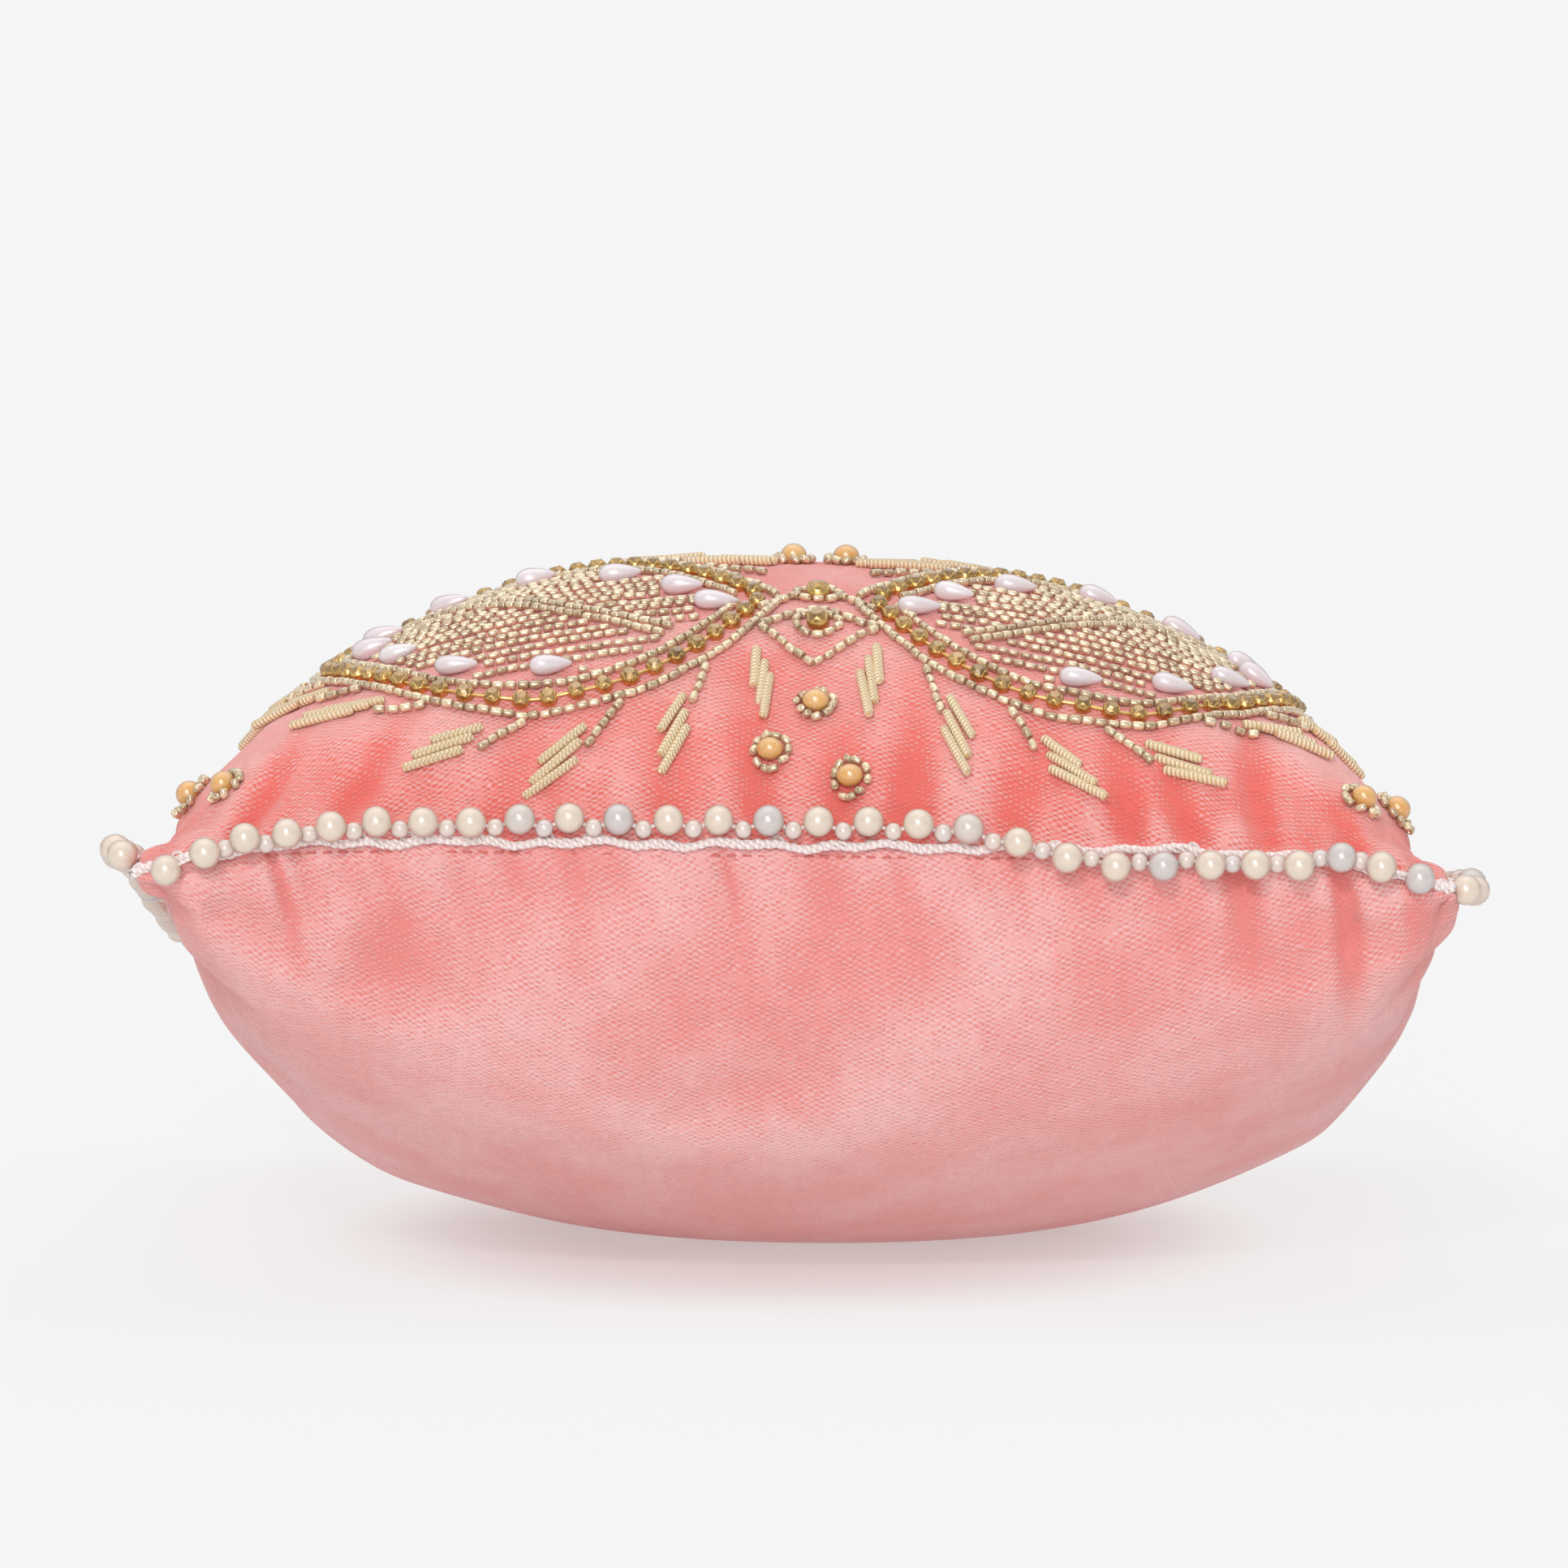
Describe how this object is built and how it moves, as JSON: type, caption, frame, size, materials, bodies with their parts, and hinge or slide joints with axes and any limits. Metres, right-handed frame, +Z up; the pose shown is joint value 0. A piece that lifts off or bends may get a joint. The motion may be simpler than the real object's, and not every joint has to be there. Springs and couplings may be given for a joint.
{
  "type": "ring bearer pillow",
  "caption": "Square stuffed velvet ring bearer pillow with a pearl and crochet edge and a beaded, crystal and bullion embroidered top.",
  "frame": {"origin": "middle of the base, on the surface the pillow rests on", "axes": "+X to the right along the front edge, +Y from the front edge to the back edge, +Z up, the crowned embroidered cover on top"},
  "size_m": [0.2156, 0.2132, 0.1183],
  "materials": {
    "velvet": "dusty coral pink velvet with a brushed nap",
    "fibre_filling": "loose white polyester fibre",
    "cotton_braid": "matte crocheted cotton cord",
    "trim_pearl": "cream pearl coating",
    "drop_pearl": "white pearl coating with a lilac cast",
    "honey_pearl": "honey coloured pearl coating",
    "gold_seed_bead": "silver lined champagne gold glass",
    "gold_cup_crystal": "gilt cups with faceted topaz stones",
    "bullion_gold": "pale gold coiled wire"
  },
  "bodies": {
    "root": {"inner_filling": "fibre_filling", "top_cover": "velvet", "bottom_cover": "velvet", "trim_braid": "cotton_braid", "trim_pearls_front": "trim_pearl", "trim_pearls_right": "trim_pearl", "trim_pearls_back": "trim_pearl", "trim_pearls_left": "trim_pearl", "trim_small_pearls": "trim_pearl", "wing_front_left_crystal_chain": "gold_cup_crystal", "wing_front_left_outer_beads": "gold_seed_bead", "wing_front_left_inner_beads": "gold_seed_bead", "wing_front_left_midrib_beads": "gold_seed_bead", "wing_front_left_fill_beads": "gold_seed_bead", "wing_front_left_drop_pearls": "drop_pearl", "wing_front_left_bullion_rays": "bullion_gold", "wing_front_right_crystal_chain": "gold_cup_crystal", "wing_front_right_outer_beads": "gold_seed_bead", "wing_front_right_inner_beads": "gold_seed_bead", "wing_front_right_midrib_beads": "gold_seed_bead", "wing_front_right_fill_beads": "gold_seed_bead", "wing_front_right_drop_pearls": "drop_pearl", "wing_front_right_bullion_rays": "bullion_gold", "wing_back_left_crystal_chain": "gold_cup_crystal", "wing_back_left_outer_beads": "gold_seed_bead", "wing_back_left_inner_beads": "gold_seed_bead", "wing_back_left_midrib_beads": "gold_seed_bead", "wing_back_left_fill_beads": "gold_seed_bead", "wing_back_left_drop_pearls": "drop_pearl", "wing_back_left_bullion_rays": "bullion_gold", "wing_back_right_crystal_chain": "gold_cup_crystal", "wing_back_right_outer_beads": "gold_seed_bead", "wing_back_right_inner_beads": "gold_seed_bead", "wing_back_right_midrib_beads": "gold_seed_bead", "wing_back_right_fill_beads": "gold_seed_bead", "wing_back_right_drop_pearls": "drop_pearl", "wing_back_right_bullion_rays": "bullion_gold", "front_eye_motif": "gold_cup_crystal", "back_eye_motif": "gold_cup_crystal", "flower_01": "honey_pearl", "flower_02": "honey_pearl", "flower_03": "honey_pearl", "flower_04": "honey_pearl", "flower_05": "honey_pearl", "flower_06": "honey_pearl", "flower_07": "honey_pearl", "flower_08": "honey_pearl", "flower_09": "honey_pearl", "flower_10": "honey_pearl", "flower_11": "honey_pearl", "flower_12": "honey_pearl", "flower_13": "honey_pearl", "flower_14": "honey_pearl", "flower_15": "honey_pearl", "flower_16": "honey_pearl", "flower_17": "honey_pearl", "flower_18": "honey_pearl"}
  },
  "joints": []
}
